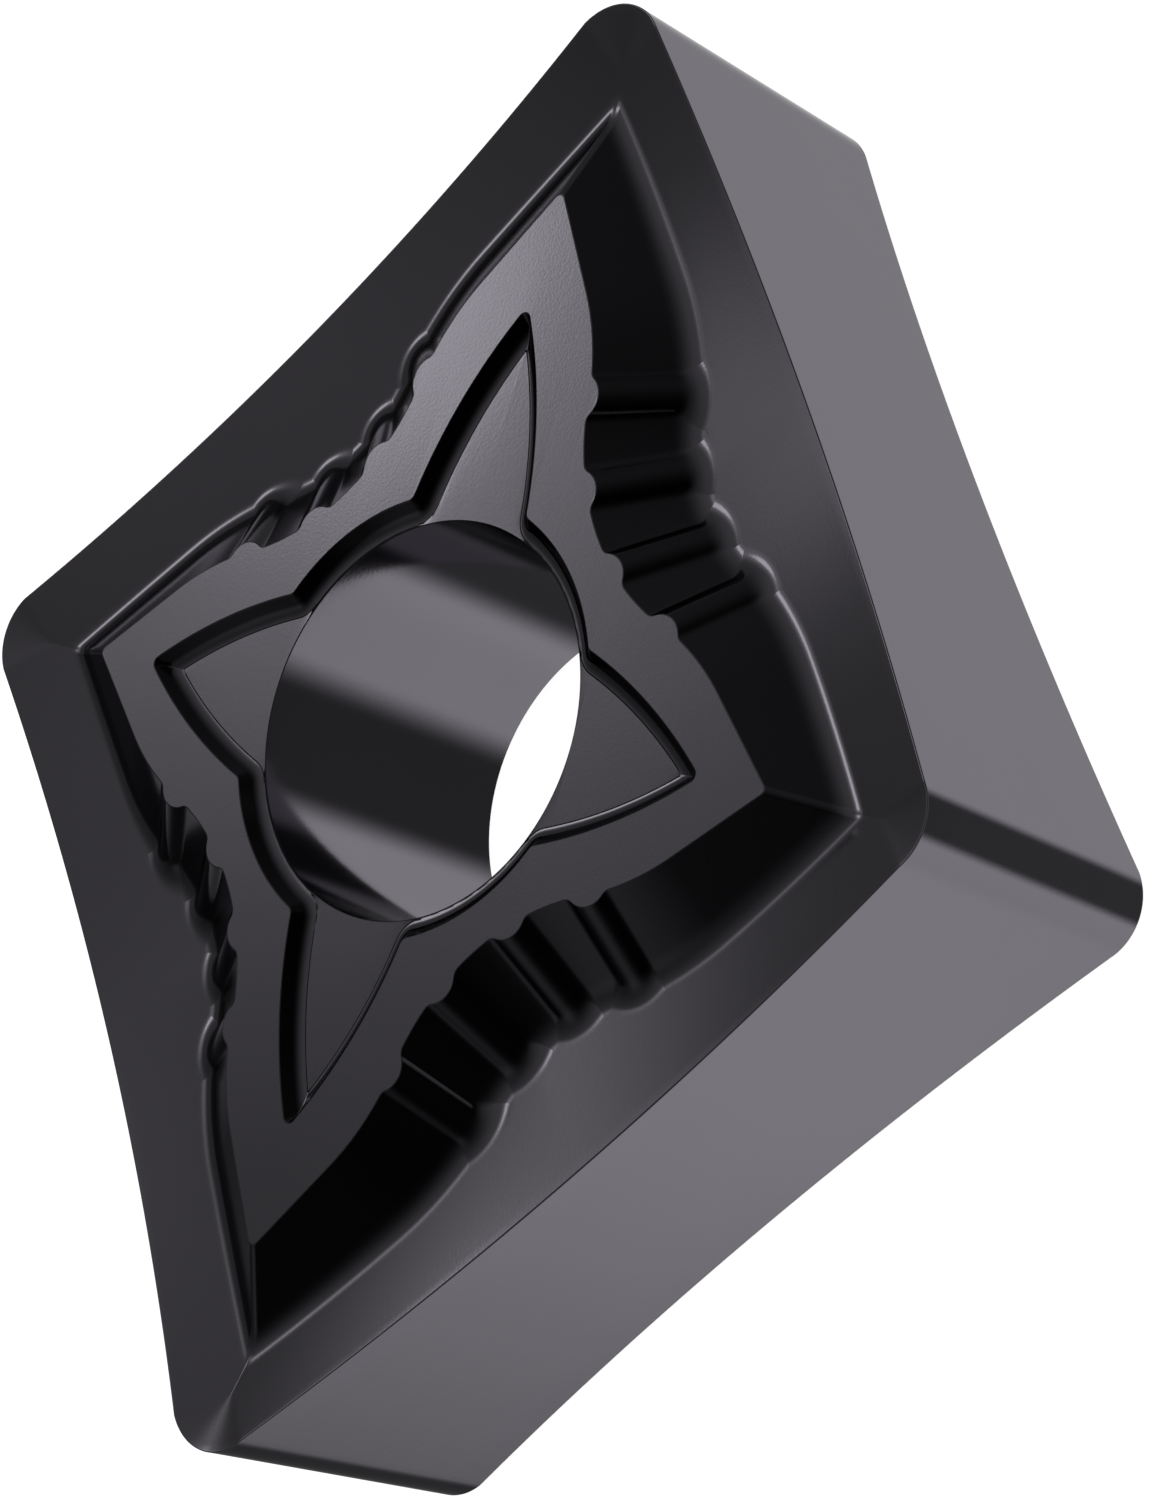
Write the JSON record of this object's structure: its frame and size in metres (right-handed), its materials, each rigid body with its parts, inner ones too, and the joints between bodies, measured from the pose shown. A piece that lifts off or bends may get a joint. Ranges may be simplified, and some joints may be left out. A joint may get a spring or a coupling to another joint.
{
  "type": "double-sided turning insert",
  "caption": "Rhombic double-sided carbide turning insert: sagging cutting edges, chip grooves, scalloped seats with a star-shaped pocket, and a central clamping bore.",
  "frame": {"origin": "centre of the bore, half way through the thickness", "axes": "+Z along the bore, +X towards an 80 degree cutting corner, +Y towards a 100 degree corner"},
  "size_m": [0.0188, 0.016, 0.005],
  "materials": {
    "coated_carbide": "smooth glossy dark grey coating over sintered carbide, with a faint violet cast"
  },
  "bodies": {
    "root": {"insert_body": "coated_carbide"}
  },
  "joints": []
}
